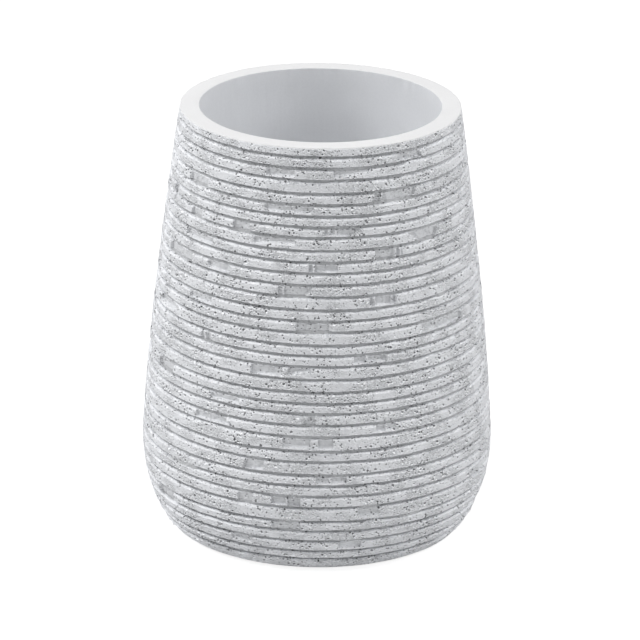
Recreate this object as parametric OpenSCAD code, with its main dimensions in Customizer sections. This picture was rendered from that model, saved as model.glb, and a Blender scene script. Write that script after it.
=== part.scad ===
// Bathroom tumbler, cast in stone-filled resin, with hand-cut ridges round the outside.
// Millimetres, +Z up. The origin is on the axis, on the table that the tumbler stands on,
// and the front of the tumbler looks along -Y.

/* [Overall shape] */
// Height from the table to the rim
body_h = 105; // [95:1:115]
// Radius at the widest place, low on the belly
belly_r = 42.1; // [41:0.1:44]
// Height of the widest place above the table
belly_z = 22; // [18:1:30]
// Radius at the foot, where the belly has curved in
foot_r = 33.6; // [32.4:0.1:36]
// Radius of the outside at the rim
rim_r = 33.4; // [32:0.1:36]

/* [Rim] */
// Rounding of the rim's outer edge
rim_outer_round = 0.25; // [0.1:0.05:1]
// Rounding of the rim's inner edge
rim_inner_round = 0.2; // [0.1:0.05:1.5]

/* [Ridges] */
// Mean height of one ridge together with the groove under it
ridge_pitch = 2.8; // [2.5:0.05:3.4]
// Height of a groove at its mouth
groove_h = 1.24; // [0.8:0.02:1.5]
// Depth of a groove under the faces of the ridges
groove_depth = 0.94; // [0.5:0.02:1.4]
// How far the underside of a ridge drops in towards the floor of the groove under it
groove_slant = 0.08; // [0.04:0.02:0.3]
// How far the ledge on top of a ridge rises in towards the floor of the groove over it
ledge_rise = 0.36; // [0.1:0.02:0.4]
// Least height of the plain band between the lowest groove and the underside
foot_band = 2.2; // [1.6:0.1:4]

/* [Broken stretches of ridge] */
// How deep a broken stretch lies under the face of its ridge
break_depth = 0.78; // [0.3:0.02:0.9]

/* [Inside] */
// Radius of the mouth
mouth_r = 28.75; // [27:0.25:30]
// Radius at the foot of the inside wall, smaller so that the core draws out
well_r = 27.8; // [26:0.1:28.6]
// Thickness of the floor over the pad
floor_t = 6.5; // [4:0.5:12]
// Rounding between the inside wall and the floor
well_round = 6; // [2:0.5:10]

/* [Base pad] */
// Radius of the foam pad under the foot
pad_r = 28.6; // [24:0.2:30]
// Thickness of the foam pad
pad_t = 1.4; // [1:0.1:3]
// How far the pad stands out under the foot
pad_proud = 0.5; // [0.3:0.05:0.8]
// Gap between the pad and the wall of its recess
pad_gap = 0.4; // [0.2:0.05:1]
// Bevel round the pad's lower edge
pad_bevel = 0.2; // [0.1:0.05:0.4]
// Thickness of the adhesive film over the pad
adhesive_t = 0.15; // [0.1:0.05:0.3]
// How far the film stops short of the pad's edge
adhesive_inset = 0.6; // [0.2:0.1:2]

/* [Hidden] */
$fn = 96;

// How full the curve under the belly is, and how late the wall draws in above it
belly_curve_share = 0.74;
shoulder_curve_share = 1.35;
// Straight steps in a rounded edge, and in the curve of the foot band
round_steps = 5;
foot_steps = 4;
// Overrun of a cut past the surface that it opens
overrun = 0.6;

// Heights of the hand-cut ridges from the rim down, as shares of the mean pitch
ridge_shares = [
    0.88, 0.95, 1.00, 1.10, 0.95, 0.95, 0.90, 0.90, 1.10,
    0.95, 0.95, 1.00, 1.00, 1.10, 0.95, 0.95, 1.10, 0.90,
    0.95, 1.10, 1.10, 0.95, 0.90, 1.00, 1.00, 1.25, 0.95,
    1.15, 0.95, 0.94, 1.04, 1.34, 0.94, 0.99, 1.09, 0.89
];

// Broken stretches on the front: ridge counted down from the rim, first and last angle from
// the front, and the lowest and highest share of the ridge's height that has broken away
front_breaks = [
    [1, 32, 44, 0.0, 1.0], [2, -21, -10, 0.2, 1.0], [2, 6, 15, 0.5, 1.0],
    [4, -60, -48, 0.0, 1.0], [4, 21, 39, 0.0, 1.0], [5, -20, -3, 0.3, 1.0],
    [6, -73, -69, 0.0, 1.0], [7, -56, -50, 0.0, 1.0], [7, -34, -27, 0.0, 1.0],
    [7, 2, 5, 0.3, 1.0], [7, 7, 14, 0.0, 1.0], [8, -24, -9, 0.5, 1.0],
    [8, 38, 49, 0.0, 1.0], [9, 21, 32, 0.0, 1.0], [9, -58, -43, 0.2, 1.0],
    [10, -3, 7, 0.0, 1.0], [11, -70, -53, 0.0, 1.0], [11, -44, -34, 0.0, 1.0],
    [12, -14, -4, 0.0, 1.0], [13, 19, 28, 0.0, 1.0], [14, -52, -41, 0.0, 1.0],
    [15, -7, 4, 0.0, 1.0], [16, -73, -59, 0.4, 1.0], [16, 41, 60, 0.0, 1.0],
    [17, -44, -40, 0.0, 1.0], [18, 13, 24, 0.2, 1.0], [19, -23, -12, 0.0, 1.0],
    [19, -10, -4, 0.5, 1.0], [21, -68, -58, 0.0, 1.0], [22, -38, -27, 0.3, 1.0],
    [23, -4, -1, 0.0, 1.0], [24, -44, -30, 0.0, 1.0], [24, 20, 27, 0.3, 1.0],
    [25, -11, -2, 0.2, 1.0], [25, 1, 5, 0.0, 1.0], [27, -24, -18, 0.0, 1.0],
    [28, 0, 10, 0.3, 1.0], [30, -26, -21, 0.0, 1.0], [30, -14, -5, 0.0, 1.0],
    [31, 14, 21, 0.3, 1.0], [32, -14, -5, 0.0, 1.0], [32, -66, -56, 0.0, 1.0],
    [34, -30, -23, 0.4, 1.0], [34, 8, 16, 0.3, 1.0]
];

// Broken stretches round the sides and back: one on most ridges, each turned on from the
// last by an uneven step, between these angles from the front
back_from = 72;
back_span = 200;
back_turn_share = 0.618;
back_length = 7;
back_length_spread = 9;
back_spread_share = 0.37;

// Turns an angle counted from the front, seen from above, into the usual one
front_angle = -90;

pad_top = pad_t;
recess_top = pad_top + adhesive_t;
floor_z = recess_top + floor_t;
recess_r = pad_r + pad_gap;

function part_of(x) = x - floor(x);

// Radius of the outside before the grooves are cut, at height z
function envelope_r(z) =
    z < belly_z
        ? foot_r + (belly_r - foot_r) * pow(1 - pow(1 - z / belly_z, 2), belly_curve_share)
        : belly_r - (belly_r - rim_r)
            * pow((z - belly_z) / (body_h - belly_z), shoulder_curve_share);

// How many mean pitches the middle of groove i lies under the rim
function pitches_down(i) =
    i < 0 ? 0 : pitches_down(i - 1) + ridge_shares[i % len(ridge_shares)];

function groove_z(i) = body_h - ridge_pitch * pitches_down(i);

lowest_groove_z = pad_proud + foot_band + groove_h / 2;
groove_zs = [
    for (i = [0 : ceil(body_h / ridge_pitch)])
        if (groove_z(i) >= lowest_groove_z) groove_z(i)
];
last_groove = len(groove_zs) - 1;

// The four corners of one groove, from its lower lip up
function groove_points(z) = [
    [envelope_r(z - groove_h / 2), z - groove_h / 2],
    [envelope_r(z) - groove_depth, z - groove_h / 2 + ledge_rise],
    [envelope_r(z) - groove_depth, z + groove_h / 2 - groove_slant],
    [envelope_r(z + groove_h / 2), z + groove_h / 2]
];

// Points along a quarter round, from angle a on
function quarter_round(r, z, radius, a) = [
    for (k = [0 : round_steps])
        [r + radius * cos(a + 90 * k / round_steps),
         z + radius * sin(a + 90 * k / round_steps)]
];

// The band at the foot curves in under the lowest groove, down to the flat underside
foot_band_top = groove_zs[last_groove] - groove_h / 2;
foot_points = [
    for (k = [0 : foot_steps - 1])
        let (z = pad_proud + (foot_band_top - pad_proud) * k / foot_steps)
        [k == 0 ? foot_r : envelope_r(z), z]
];

outside_points = [
    for (i = [last_groove : -1 : 0])
        each groove_points(groove_zs[i])
];

rim_points = concat(
    quarter_round(rim_r - rim_outer_round, body_h - rim_outer_round, rim_outer_round, 0),
    quarter_round(mouth_r + rim_inner_round, body_h - rim_inner_round, rim_inner_round, 90)
);

well_points = [
    for (k = [0 : round_steps])
        [well_r - well_round + well_round * cos(90 * k / round_steps),
         floor_z + well_round - well_round * sin(90 * k / round_steps)]
];

// Faces of ridge i lie between the groove over it and the groove under it
function ridge_top(i) = i == 0 ? body_h : groove_zs[i - 1] - groove_h / 2;
function ridge_bottom(i) = i > last_groove ? pad_proud : groove_zs[i] + groove_h / 2;

// One broken stretch: the face of the ridge is cut back to a rough ledge just above the
// floors of the grooves, over part of the turn. A stretch that is broken through opens
// into the groove above or below it.
module broken_stretch(stretch) {
    i = stretch[0];
    height = ridge_top(i) - ridge_bottom(i);
    reach = groove_h / 3;
    low = ridge_bottom(i) + height * stretch[3] - (stretch[3] == 0 ? reach : 0);
    high = ridge_bottom(i) + height * stretch[4] + (stretch[4] == 1 ? reach : 0);
    rotate_extrude(start = front_angle + stretch[1], angle = stretch[2] - stretch[1])
        polygon([
            [envelope_r(low) - break_depth, low],
            [belly_r + overrun, low],
            [belly_r + overrun, high],
            [envelope_r(high) - break_depth, high]
        ]);
}

back_breaks = [
    for (i = [1 : last_groove - 1])
        let (
            turn = back_from + back_span * part_of(i * back_turn_share),
            span = back_length + back_length_spread * part_of(i * back_spread_share)
        )
        [i, turn, turn + span, 0.0, 1.0]
];

// The casting: outside, rim, inside and the recess for the pad in one revolved outline,
// with the broken stretches cut into its ridges
module body() {
    color("whitesmoke")
        difference() {
            rotate_extrude()
                polygon(concat(
                    [[0, recess_top], [recess_r, recess_top], [recess_r, pad_proud]],
                    foot_points,
                    outside_points,
                    rim_points,
                    well_points,
                    [[0, floor_z]]
                ));
            for (stretch = concat(front_breaks, back_breaks))
                if (stretch[0] <= last_groove) broken_stretch(stretch);
        }
}

// Double-sided film that holds the pad up in its recess
module pad_adhesive() {
    color("gainsboro")
        translate([0, 0, pad_top])
            cylinder(h = adhesive_t, r = pad_r - adhesive_inset);
}

// Foam pad that the tumbler stands on
module base_pad() {
    color("dimgray")
        rotate_extrude()
            polygon([
                [0, 0],
                [pad_r - pad_bevel, 0],
                [pad_r, pad_bevel],
                [pad_r, pad_top],
                [0, pad_top]
            ]);
}

body();
pad_adhesive();
base_pad();
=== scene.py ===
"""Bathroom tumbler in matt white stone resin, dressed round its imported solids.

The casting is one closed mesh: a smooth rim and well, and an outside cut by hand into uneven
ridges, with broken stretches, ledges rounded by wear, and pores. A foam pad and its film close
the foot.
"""

import math
from collections import namedtuple

import bpy
import numpy as np
from bpy.props import FloatProperty, FloatVectorProperty, IntProperty, PointerProperty
from mathutils import Matrix, Vector


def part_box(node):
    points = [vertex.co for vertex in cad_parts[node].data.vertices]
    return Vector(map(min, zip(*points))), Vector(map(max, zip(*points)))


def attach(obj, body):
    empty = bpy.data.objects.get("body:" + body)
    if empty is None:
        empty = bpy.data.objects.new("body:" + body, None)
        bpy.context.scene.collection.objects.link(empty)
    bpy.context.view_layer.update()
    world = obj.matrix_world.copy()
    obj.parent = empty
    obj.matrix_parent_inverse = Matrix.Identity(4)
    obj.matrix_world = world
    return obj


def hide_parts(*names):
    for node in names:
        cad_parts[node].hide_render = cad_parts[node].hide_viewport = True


bl_info = {
    "name": "Ridged Bathroom Tumbler",
    "version": (1, 0, 0),
    "blender": (4, 5, 0),
    "location": "3D View > Sidebar > Tumbler",
    "description": "Builds a ridged stone resin tumbler, its foam pad and a plain studio",
    "category": "Object",
}

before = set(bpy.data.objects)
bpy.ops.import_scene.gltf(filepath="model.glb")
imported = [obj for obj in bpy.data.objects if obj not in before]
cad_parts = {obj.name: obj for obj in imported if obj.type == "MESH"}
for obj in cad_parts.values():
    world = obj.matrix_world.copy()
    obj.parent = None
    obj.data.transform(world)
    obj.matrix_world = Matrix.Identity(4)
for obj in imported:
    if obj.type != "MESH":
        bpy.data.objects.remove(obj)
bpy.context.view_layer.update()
body_low, body_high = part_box("body")
pad_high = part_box("base_pad")[1]
film_low, film_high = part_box("pad_adhesive")

MM = 0.001
TAU = 2 * math.pi

# Heights of the hand-cut ridges from the rim down, as shares of the mean pitch
RIDGE_SHARES = (
    0.88, 0.95, 1.00, 1.10, 0.95, 0.95, 0.90, 0.90, 1.10,
    0.95, 0.95, 1.00, 1.00, 1.10, 0.95, 0.95, 1.10, 0.90,
    0.95, 1.10, 1.10, 0.95, 0.90, 1.00, 1.00, 1.25, 0.95,
    1.15, 0.95, 0.94, 1.04, 1.34, 0.94, 0.99, 1.09, 0.89,
)

# A stretch of ridge that has broken away. Angles count from the front, positive to the right,
# in degrees. Its lower bound runs from one share of the ridge's height to another, where 0 is
# broken right through, and each end may lean, by so many degrees over the ridge's height.
Break = namedtuple("Break", "ridge first last low_first low_last lean_first lean_last",
                   defaults=(0.0, 0.0, 0.0, 0.0))
FRONT_BREAKS = (
    Break(1, 32, 44, 0.1, 0.0, 1, -1), Break(2, -21, -10, 0.1, 0.3),
    Break(2, 5.5, 19, 0.25, 0.9), Break(4, -60, -48.5), Break(4, 21, 39, 0.0, 0.0, 1, 1),
    Break(5, -20.5, -3, 0.3, 0.3, -1, 2), Break(6, -73, -69), Break(7, -56, -50),
    Break(7, -34, -27), Break(7, 2, 5.5, 0.3, 0.3), Break(7, 6.5, 13.5, 0.1, 0.0, 0, 4),
    Break(8, -24.5, -9, 0.3, 0.7), Break(8, 38, 49, 0, 0, -5, 2), Break(9, 21, 32),
    Break(9, -58, -43, 0.2, 0.2), Break(10, -3.5, 7, 0.0, 0.15), Break(11, -70, -53),
    Break(11, -44, -34, 0.2, 0.0), Break(12, -14.5, -3.5, 0, 0, 0, 2),
    Break(13, 18.5, 28.5, 0.1, 0.1), Break(14, -52, -41, 0.1, 0.1), Break(15, -7.5, 4),
    Break(16, -73, -59, 0.4, 0.4), Break(16, 41, 60, 0.2, 0.0, -4, 0), Break(17, -44.5, -40),
    Break(18, 12.5, 24, 0.15, 0.3), Break(19, -23, -12, 0.0, 0.2),
    Break(19, -10, -2.5, 0.35, 0.9), Break(21, -68, -58), Break(22, -38, -27, 0.3, 0.3),
    Break(23, -4, -0.5, 0, 0, 2, 0), Break(24, -44, -30, 0.1, 0.1, 0, -3),
    Break(24, 20, 27, 0.2, 0.4), Break(25, -11, -2, 0.2, 0.2), Break(25, 0.5, 5.5, 0.1, 0.1),
    Break(27, -24, -17.5, 0, 0.1, 1, 0), Break(28, 0, 10, 0.2, 0.3), Break(30, -26, -21),
    Break(30, -14.5, -5, 0.1, 0.0), Break(31, 14, 21, 0.3, 0.3), Break(32, -14.5, -5),
    Break(32, -66, -56), Break(34, -30, -23, 0.4, 0.4), Break(34, 8, 16, 0.3, 0.3),
)
# Round the sides and back: one on most ridges, each turned on from the last by an uneven step,
# from the first angle over the span. BACK_LOW is one step of the height of their lower bound
BACK_FROM, BACK_SPAN, BACK_TURN_SHARE = 72, 200, 0.618
BACK_LENGTH, BACK_LENGTH_SPREAD, BACK_SPREAD_SHARE = 7, 9, 0.37
BACK_LOW = 0.2

# Narrow bars left standing in the broken stretches: ridge, angle, width in degrees
STUBS = (
    (4, 24.5, 0.8), (7, 3.6, 0.9), (9, 29.0, 0.9), (9, 31.4, 0.9), (10, -1.8, 0.9),
    (12, -12.6, 0.8), (13, 20.2, 0.8), (13, 27.0, 0.7), (17, -42.3, 0.9), (18, 17.0, 1.0),
    (24, 23.5, 0.9), (28, 4.5, 0.8), (30, -9.5, 0.7),
)

# Upper edges with a slope of wear, painted paler as highlight: ridge, first and last angle, width
# of the slope in mm
WORN_LEDGES = (
    (3, -24, 5, 0.42), (3, 7, 16, 0.25), (5, -50, -22, 0.2), (9, -28, -14, 0.4),
    (9, -4, 12, 0.25), (11, -10, 1, 0.3), (12, -44, -30, 0.3), (13, -16, 5, 0.45),
    (16, -9, 7, 0.42), (18, -42, -31, 0.3), (20, -22, -9, 0.3), (23, -8, 6, 0.3),
    (24, -47, -27, 0.5), (26, -16, 13, 0.4), (31, -30, -20, 0.35), (31, -18, -5, 0.35),
)

# Places where a ridge swells up into the groove over it: ridge, first and last angle, rise in mm
SWELLS = (
    (2, 32, 47, 0.45), (25, -46, -30, 0.35), (29, 14, 22, 0.4), (32, 16, 23, 0.6),
    (34, -31, -23, 0.55), (34, 7, 17, 0.5), (19, 36, 50, 0.3), (14, 38, 50, 0.25),
)

# Places where a groove was never cut through: groove, first and last angle
BRIDGES = ((28, -56, -43), (21, 58, 66), (13, 47, 52), (31, 30, 37))


class TumblerShape(bpy.types.PropertyGroup):
    """Sizes of the casting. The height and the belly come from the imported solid"""

    height: FloatProperty(
        name="Height", description="From the table to the rim",
        default=body_high.z, unit="LENGTH")
    belly_radius: FloatProperty(
        name="Belly radius", description="Radius at the widest place",
        default=body_high.x, unit="LENGTH")
    belly_height: FloatProperty(
        name="Belly height", description="Height of the widest place above the table",
        default=22 * MM, unit="LENGTH")
    foot_radius: FloatProperty(
        name="Foot radius", description="Radius where the belly has curved in to the foot",
        default=33.6 * MM, unit="LENGTH")
    rim_radius: FloatProperty(
        name="Rim radius", description="Outer radius at the rim",
        default=33.4 * MM, unit="LENGTH")
    mouth_radius: FloatProperty(
        name="Mouth radius", description="Radius of the opening in the rim",
        default=28.75 * MM, unit="LENGTH")
    well_radius: FloatProperty(
        name="Well radius", description="Radius at the foot of the inside wall",
        default=27.8 * MM, unit="LENGTH")
    floor_height: FloatProperty(
        name="Floor height", description="Height of the inside floor above the table",
        default=8.05 * MM, unit="LENGTH")
    ridge_pitch: FloatProperty(
        name="Ridge pitch", description="Mean height of a ridge with the groove under it",
        default=2.8 * MM, unit="LENGTH")
    groove_height: FloatProperty(
        name="Groove height", description="Height of a groove at its mouth",
        default=1.24 * MM, unit="LENGTH")
    groove_depth: FloatProperty(
        name="Groove depth", description="Depth of a groove under the faces of the ridges",
        default=0.94 * MM, unit="LENGTH")
    break_depth: FloatProperty(
        name="Break depth", description="How deep a broken stretch lies under its ridge",
        default=0.78 * MM, unit="LENGTH")
    seed: IntProperty(
        name="Seed", description="Seed of the unevenness of the cut", default=7)


class TumblerFinish(bpy.types.PropertyGroup):
    """Colours of the surfaces"""

    stone_colour: FloatVectorProperty(
        name="Stone", description="Colour of the cast resin",
        default=(0.79, 0.80, 0.82), subtype="COLOR", min=0, max=1)
    # The rim's colour: a paler, neutral copy of the stone for the flat rim that faces up into the
    # lamps, a painted highlight
    rim_highlight_colour: FloatVectorProperty(
        name="Rim", description="Colour of the flat rim, where the casting is ground",
        default=(0.83, 0.828, 0.83), subtype="COLOR", min=0, max=1)
    # Near black, for the painted shade deep in the pores
    pore_shade_colour: FloatVectorProperty(
        name="Pores", description="Colour deep in the pores",
        default=(0.04, 0.04, 0.045), subtype="COLOR", min=0, max=1)
    foam_colour: FloatVectorProperty(
        name="Foam", description="Colour of the base pad",
        default=(0.12, 0.12, 0.125), subtype="COLOR", min=0, max=1)
    film_colour: FloatVectorProperty(
        name="Film", description="Colour of the adhesive film",
        default=(0.72, 0.70, 0.64), subtype="COLOR", min=0, max=1)


class TumblerStudio(bpy.types.PropertyGroup):
    """The camera's place and its lens"""

    distance: FloatProperty(
        name="Distance", description="From the camera to the middle of the tumbler",
        default=1.3452, unit="LENGTH")
    elevation: FloatProperty(
        name="Elevation", description="Angle of the camera above the horizon",
        default=math.radians(19.937), unit="ROTATION")
    roll: FloatProperty(
        name="Roll", description="How far the camera leans to the left",
        default=math.radians(0.685), unit="ROTATION")
    lens: FloatProperty(
        name="Lens", description="Focal length on a sensor 36 mm wide",
        default=315.0, unit="CAMERA")
    aside: FloatProperty(
        name="Aside", description="How far the camera stands to the right of the axis",
        default=0.456 * MM, unit="LENGTH")
    raised: FloatProperty(
        name="Raised", description="How far the camera stands off the line to the middle",
        default=-1.746 * MM, unit="LENGTH")


# The casting's mesh: columns round the turn, and rows down a ridge's face as shares of its height
COLUMNS = 960
FACE_SHARES = (0.84, 0.67, 0.5, 0.33, 0.17)

# Rows of the smooth surfaces: shares of the way across, and steps of the roundings and the wall
FLOOR_SHARES = (0.02, 0.08, 0.16, 0.28, 0.42, 0.58, 0.74, 0.88, 1.0)
RIM_SHARES = (0.25, 0.5, 0.75, 0.93)
FOOT_SHARES = (0.7, 0.35)
CEILING_SHARES = (0.8, 0.6, 0.4, 0.22, 0.1, 0.03)
FLOOR_STEPS, WALL_STEPS, RIM_STEPS = 8, 24, 3

# The revolved form under the cutting: fullness of its curves, and its roundings
BELLY_CURVE_SHARE, SHOULDER_CURVE_SHARE = 0.74, 1.35
RIM_OUTER_ROUND, RIM_INNER_ROUND = 0.25 * MM, 0.2 * MM
WELL_ROUND = 6 * MM

# The foot: least height of its plain band, its edge, how far it may stand out over the foot's
# radius, its flat, and the recess of the pad
FOOT_BAND = 2.2 * MM
FOOT_EDGE = 0.35 * MM
FOOT_OUT = 0.9 * MM
FOOT_FLAT_RADIUS = 32.5 * MM
RECESS_GAP, RECESS_BEVEL = 0.4 * MM, 0.1 * MM

# The grooves: how far they lie under their heights in the table, how far their rings lean up at
# the left, the slant of the roof, and where the ledge starts and how far it rises inwards
GROOVE_DROP = 0.05 * MM
CUT_TILT = 0.18 * MM
GROOVE_SLANT = 0.08 * MM
LEDGE_LIFT, LEDGE_RISE = 0.1 * MM, 0.28 * MM
# A row on the ledge: share of the way out to the lip, and share of the rise that it keeps
LEDGE_ROW_OUT, LEDGE_ROW_UP = 0.68, 0.85
# Rounding at the root of the ledge
ROOT_OUT, ROOT_UP = 0.06 * MM, 0.08 * MM
# How much shallower a groove is where it was never cut through, and the ramp there in degrees
BRIDGE_SHARE, BRIDGE_RAMP = 0.85, 2.5

# Worn lips: width of the slope, least and more; bites in them: from which share of the wave, and
# their size; how far a slope drops for how far it draws in, and the row close under it
LIP_WEAR, LIP_WEAR_MORE = 0.09 * MM, 0.08 * MM
BITE_FROM, BITE_SIZE = 0.25, 0.65 * MM
LIP_DROP, LIP_CREASE = 1.1, 0.06 * MM
LOW_WEAR, LOW_WEAR_MORE = 0.05 * MM, 0.10 * MM
# Least share of the width of a longer worn slope, and what its ragged edge adds
RAGGED, RAGGED_MORE = 0.6, 0.8
# Nicks in the rim's outer edge: from which share of the wave, their size, and the share of it
# that they have at the flat of the rim
NICK_FROM, NICK_SIZE, NICK_START = 0.55, 0.45 * MM, 0.4

# Broken stretches: slope and least share of the torn lower bound, the painted shade of the torn
# face and of its corners, the painted highlight on each row of it where its lower bound faces up,
# and how much a break takes off the lip's wear and rise
TORN_SLOPE, TORN_LEAST = 0.09, 0.08
TORN_PAINTED_SHADE, CORNER_PAINTED_SHADE = 0.5, 0.35
TORN_HIGHLIGHT = (0.0, 0.0, 0.5, 0.9, 0.1)
TORN_WEAR, TORN_RISE = 0.8, 0.6
# How rough a ridge's face is, in mm, and what it gains where it is torn
FACE_ROUGH, TORN_ROUGH = 0.035, 0.07

# Worn slopes and swellings round the sides and back: how many, their size, and the angles
# between which they start and how long they are
BACK_SIDE = (70, 270)
BACK_WORN, BACK_WORN_WIDTH, BACK_WORN_LENGTH = 26, 0.4 * MM, (10, 26)
BACK_SWELLS, BACK_SWELL_RISE, BACK_SWELL_LENGTH = 9, 0.4 * MM, (7, 14)

# Unevenness round the turn. Each wave is a number of knots and a reach, which is a length or a
# share of what it changes
WAVES = {
    "drift": ((17, 0.05 * MM), (61, 0.03 * MM)),
    "roof": ((43, 0.04 * MM), (210, 0.035 * MM)),
    "ledge": ((43, 0.06 * MM), (210, 0.06 * MM), (430, 0.05 * MM)),
    "depth": ((30, 0.12),),
    "rise": ((24, 0.35), (130, 0.2)),
    "lean": ((12, 0.06 * MM),),
    "back": ((26, 0.10 * MM),),
    "wear": ((70, 1.0), (190, 0.8)),
    "bites": ((400, 1.0),),
    "bite_patches": ((15, 1.4),),
    "low_wear": ((90, 1.0), (220, 0.5)),
    "hollow": ((160, 0.18),),
    "slope": ((240, 1.0),),
    "ragged": ((230, 1.0),),
    "nicks": ((150, 1.0),),
}

# Lumps that roughen the casting outwards and upwards, and patches of its pits
LUMPS_OUT, LUMPS_UP, PIT_PATCHES = 1.6 * MM, 1.3 * MM, 7 * MM
# Pits: chance of one outside the patches, what a patch adds, their share of the full size, their
# depth, and how far the brink under one stands out
PIT_CHANCE, PIT_PATCH_CHANCE, PIT_PATCH_EDGE = 0.012, 0.12, 0.1
PIT_SIZES, PIT_DEPTH, PIT_BRINK = (0.35, 1.0), 0.26 * MM, 0.04 * MM

# One row of the mesh. out and up are how far it is roughened, in mm. pits is the chance of pits.
# The next three are masks for the material: wear with painted highlight, on edges, ledges and the
# rim that face up; painted shade in grooves, breaks and under edges; and smoothness. chart is its
# place on the bake map
Ring = namedtuple("Ring", "radius height out up pits worn deep smooth chart",
                  defaults=(0, 0, 0, 0, 0, 0, ""))
# One row of values for each groove: the edges of its mouth, its depth, the rise of its ledge
Grooves = namedtuple("Grooves", "top bottom depth rise")
# One row of values for each ridge: how its face leans and stands back, the wear of its lip and
# its lower edge, and how its breaks vary in depth and in the slope of their lower bound
Ridges = namedtuple("Ridges", "lean back wear low_wear hollow slope")


def wander(rng, rows, name):
    """Smooth uneven lines round the turn: one row of values for each groove or ridge."""
    total = 0.0
    for knots, reach in WAVES[name]:
        values = rng.uniform(-1, 1, (rows, knots))
        place = np.arange(COLUMNS) * knots / COLUMNS
        left = place.astype(int)
        blend = (1 - np.cos((place - left) * math.pi)) / 2
        line = values[:, left % knots] * (1 - blend) + values[:, (left + 1) % knots] * blend
        total = total + reach * line
    return total


def turned(turns, middle):
    """Angles from a middle angle, the short way round."""
    return (turns - middle + 180) % 360 - 180


def soft_window(turns, first, last):
    """Rises from 0 at one angle to 1 half way, and falls to 0 at the other."""
    half = (last - first) / 2
    away = np.clip(turned(turns, (first + last) / 2) / half, -1, 1)
    return np.cos(away * math.pi / 2) ** 2


def plain_window(turns, first, last, ramp=0.3):
    """1 between two angles and 0 outside, with short ramps, so many degrees long."""
    half = (last - first) / 2
    return np.clip((half - np.abs(turned(turns, (first + last) / 2))) / ramp + 0.5, 0, 1)


def envelope(shape, z):
    """Radius of the outside before the grooves are cut, at height z."""
    z = np.asarray(z, float)
    low = np.clip(z / shape.belly_height, 0, 1)
    high = np.clip((z - shape.belly_height) / (shape.height - shape.belly_height), 0, 1)
    drawn_in = 1 - (1 - (1 - low) ** 2) ** BELLY_CURVE_SHARE
    under = (shape.belly_radius - shape.foot_radius) * drawn_in
    over = (shape.belly_radius - shape.rim_radius) * high ** SHOULDER_CURVE_SHARE
    return shape.belly_radius - under - over


def groove_heights(shape):
    """Heights of the middles of the grooves, from the rim down."""
    heights, down = [], 0.0
    lowest = body_low.z + FOOT_BAND + shape.groove_height / 2
    while True:
        down += RIDGE_SHARES[len(heights) % len(RIDGE_SHARES)] * shape.ridge_pitch
        if shape.height - down < lowest:
            return np.array(heights)
        heights.append(shape.height - down)


def all_breaks(grooves):
    """The breaks seen from the front, and the ones round the sides and back."""
    breaks = list(FRONT_BREAKS)
    for ridge in range(1, grooves - 1):
        first = BACK_FROM + BACK_SPAN * (ridge * BACK_TURN_SHARE % 1)
        length = BACK_LENGTH + BACK_LENGTH_SPREAD * (ridge * BACK_SPREAD_SHARE % 1)
        breaks.append(Break(ridge, first, first + length, 0.0, BACK_LOW * (ridge % 3)))
    return breaks


def bound_of(stretch, turns):
    """The lower bound along one break, as a share of its ridge's height."""
    along = np.clip(turned(turns, stretch.first) / (stretch.last - stretch.first), 0, 1)
    return stretch.low_first + (stretch.low_last - stretch.low_first) * along


def low_bound(breaks, turns):
    """The lower bound of the breaks of one ridge, as a share of its height, 0 where none is."""
    low = np.zeros(len(turns))
    for stretch in breaks:
        inside = plain_window(turns, stretch.first, stretch.last) > 0
        low = np.where(inside, np.maximum(low, bound_of(stretch, turns)), low)
    return low


def broken(breaks, stubs, turns, share):
    """How far, 0 to 1, a ridge has broken away at a share of its height, in each column."""
    gone = np.zeros(len(turns))
    for stretch in breaks:
        first = stretch.first + stretch.lean_first * (share - 0.5)
        last = stretch.last + stretch.lean_last * (share - 0.5)
        above = share >= bound_of(stretch, turns)
        gone = np.maximum(gone, plain_window(turns, first, last) * above)
    for _, at, width in stubs:
        gone *= 1 - plain_window(turns, at - width / 2, at + width / 2)
    return gone


def quarter_round(first, steps):
    """The share, the sine and 1 minus the cosine at each step of a quarter round."""
    for k in range(first, steps + 1):
        angle = math.pi / 2 * k / steps
        yield k / steps, math.sin(angle), 1 - math.cos(angle)


def well_rings(shape):
    """The inside, from the middle of the floor out and up to the rim."""
    flat = shape.well_radius - WELL_ROUND
    rings = [Ring(flat * share, shape.floor_height, up=0.02, chart="floor")
             for share in FLOOR_SHARES]
    rings += [Ring(flat + WELL_ROUND * sine, shape.floor_height + WELL_ROUND * rise, chart="floor")
              for _, sine, rise in quarter_round(1, FLOOR_STEPS)]
    low = shape.floor_height + WELL_ROUND
    high = shape.height - RIM_INNER_ROUND
    for k in range(1, WALL_STEPS + 1):
        share = k / WALL_STEPS
        rings.append(Ring(shape.well_radius + (shape.mouth_radius - shape.well_radius) * share,
                          low + (high - low) * share, out=0.03, chart="inside"))
    return rings


def rim_rings(shape, rng):
    """The rim, from the inner rounding over the flat to the outer edge, which is nicked."""
    # Their mask gives the rim its paler colour, a painted highlight, which rises over the inner
    # rounding
    rings = [Ring(shape.mouth_radius + RIM_INNER_ROUND * out,
                  shape.height - RIM_INNER_ROUND * (1 - sine), worn=share, chart="inside")
             for share, sine, out in quarter_round(1, RIM_STEPS)]
    nicks = np.clip(np.abs(wander(rng, 1, "nicks")[0]) - NICK_FROM, 0, 1) * NICK_SIZE
    flat_from = shape.mouth_radius + RIM_INNER_ROUND
    flat_to = shape.rim_radius - RIM_OUTER_ROUND
    rings += [Ring(flat_from + (flat_to - flat_from) * share, shape.height,
                   up=0.012, worn=1.0, chart="inside") for share in RIM_SHARES]
    for share, sine, drop in quarter_round(0, RIM_STEPS):
        bite = nicks * (NICK_START + (1 - NICK_START) * share)
        rings.append(Ring(flat_to + RIM_OUTER_ROUND * sine - bite,
                          shape.height - RIM_OUTER_ROUND * drop - bite / 2,
                          out=0.02, worn=1.0, chart="inside"))
    return rings


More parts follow.
